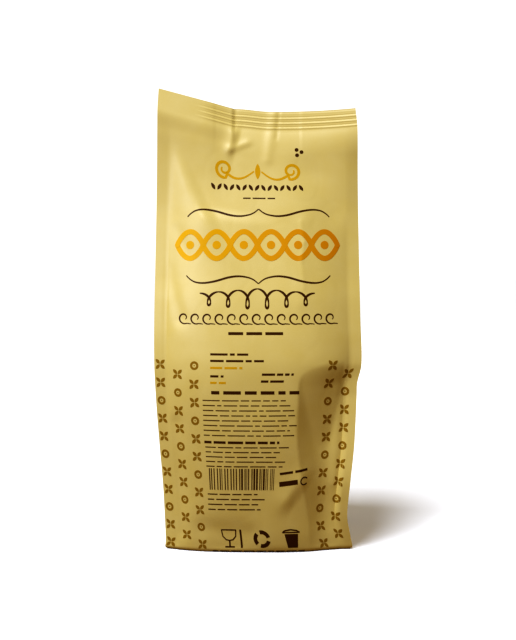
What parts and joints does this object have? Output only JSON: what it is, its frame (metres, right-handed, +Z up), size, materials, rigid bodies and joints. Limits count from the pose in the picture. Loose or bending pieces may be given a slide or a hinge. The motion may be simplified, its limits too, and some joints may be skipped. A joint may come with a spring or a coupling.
{
  "type": "bag of savoury ring crackers",
  "caption": "Shut upright paper-feel film bag of savoury ring crackers, with corner fins, folded side gussets, a block base and a ribbed top seal.",
  "frame": {"origin": "centre of the bounding box at the base that the bag stands on", "axes": "+Z up along the bag's height, -Y out of the printed front, +X to the right of someone who looks at the front"},
  "size_m": [0.0994, 0.0773, 0.2249],
  "materials": {
    "film": "matt golden film with a soft paper feel, printed in orange, golden brown and dark brown"
  },
  "bodies": {
    "root": {"bag": "film"}
  },
  "joints": []
}
